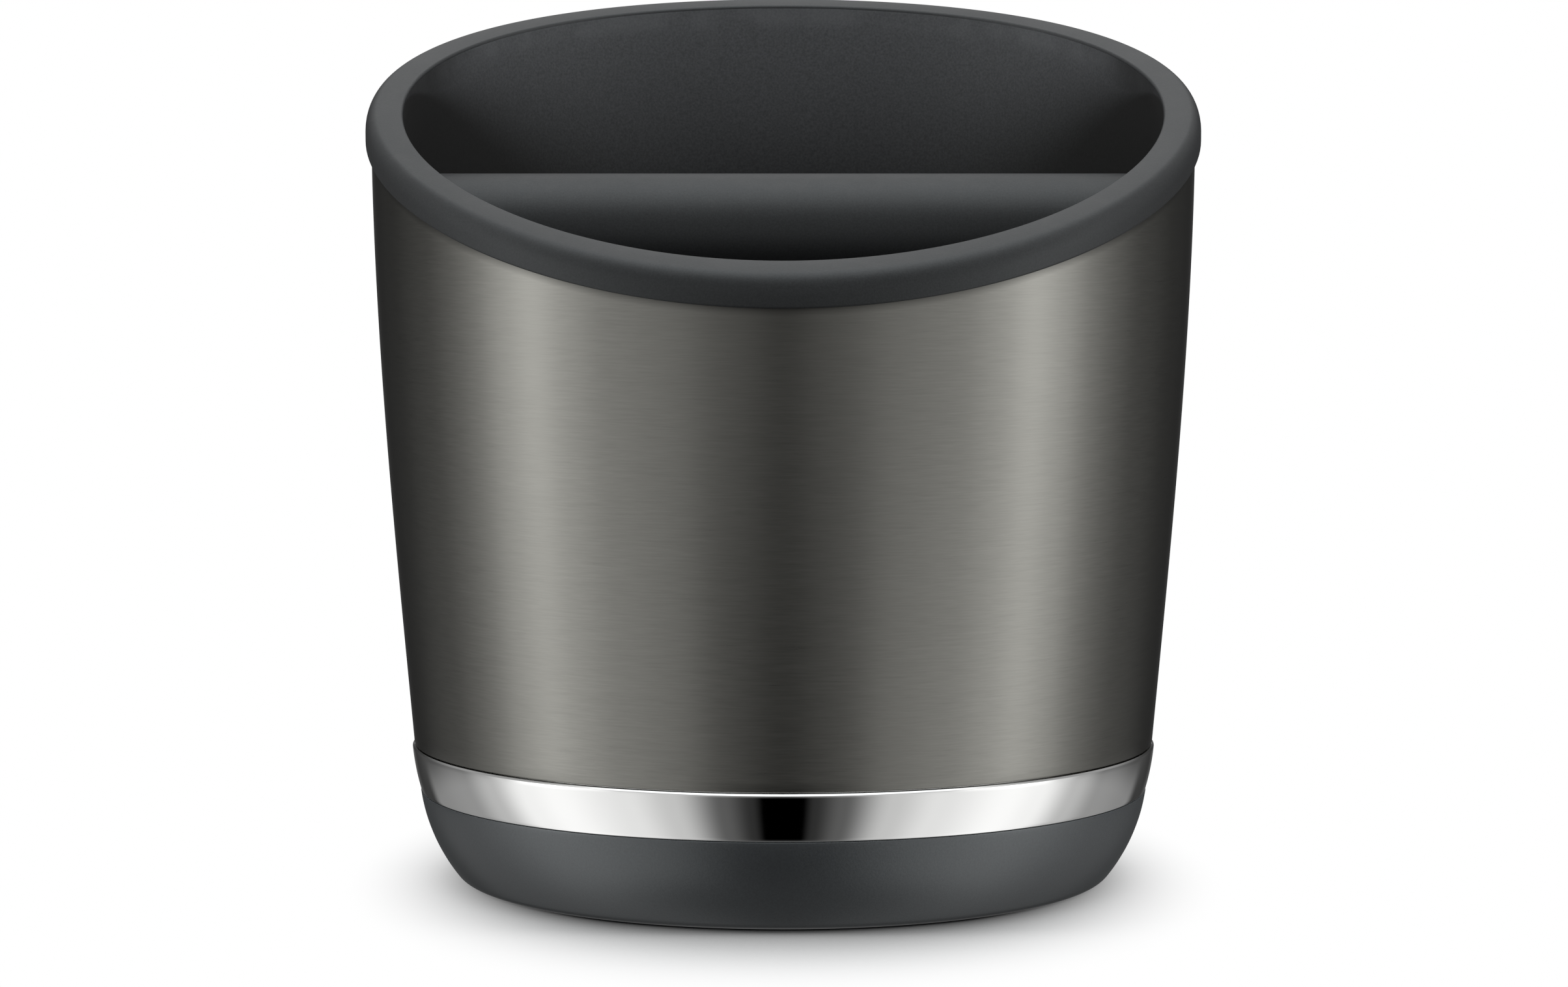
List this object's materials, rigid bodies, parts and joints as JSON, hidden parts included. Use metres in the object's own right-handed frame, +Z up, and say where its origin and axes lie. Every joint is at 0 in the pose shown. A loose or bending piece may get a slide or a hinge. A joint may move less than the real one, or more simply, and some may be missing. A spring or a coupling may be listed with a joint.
{
  "type": "espresso knock box",
  "caption": "Round espresso knock box with a slanted mouth, a steel sleeve over a moulded bucket, a soft rim, a rubber foot and a padded knock bar that lifts out",
  "frame": {"origin": "centre of the foot, on the surface that the box stands on", "axes": "+Z up; the low side of the slanted mouth faces -Y; the knock bar lies along X"},
  "size_m": [0.13, 0.13, 0.1396],
  "materials": {
    "moulded_plastic": "fine-grained moulded ABS, charcoal",
    "soft_elastomer": "matt thermoplastic elastomer, charcoal",
    "dark_brushed_steel": "dark-tinted stainless steel, brushed around the barrel",
    "polished_chrome": "bright chrome plating",
    "foot_rubber": "smooth matt rubber, charcoal",
    "bright_steel": "plain bright steel"
  },
  "bodies": {
    "box": {"inner_bucket": "moulded_plastic", "soft_rim": "soft_elastomer", "outer_sleeve": "dark_brushed_steel", "trim_band": "polished_chrome", "base_boot": "foot_rubber", "base_pan": "moulded_plastic", "base_screw_1": "bright_steel", "base_screw_2": "bright_steel", "base_screw_3": "bright_steel", "base_screw_4": "bright_steel"},
    "knock_bar": {"bar_core": "bright_steel", "bar_cover": "soft_elastomer", "bar_end_left": "foot_rubber", "bar_end_right": "foot_rubber"}
  },
  "joints": [
    {"name": "bar_lift", "type": "slide", "parent": "box", "child": "knock_bar", "axis": [0, 0, 1], "range_m": [0, 0.06]}
  ]
}
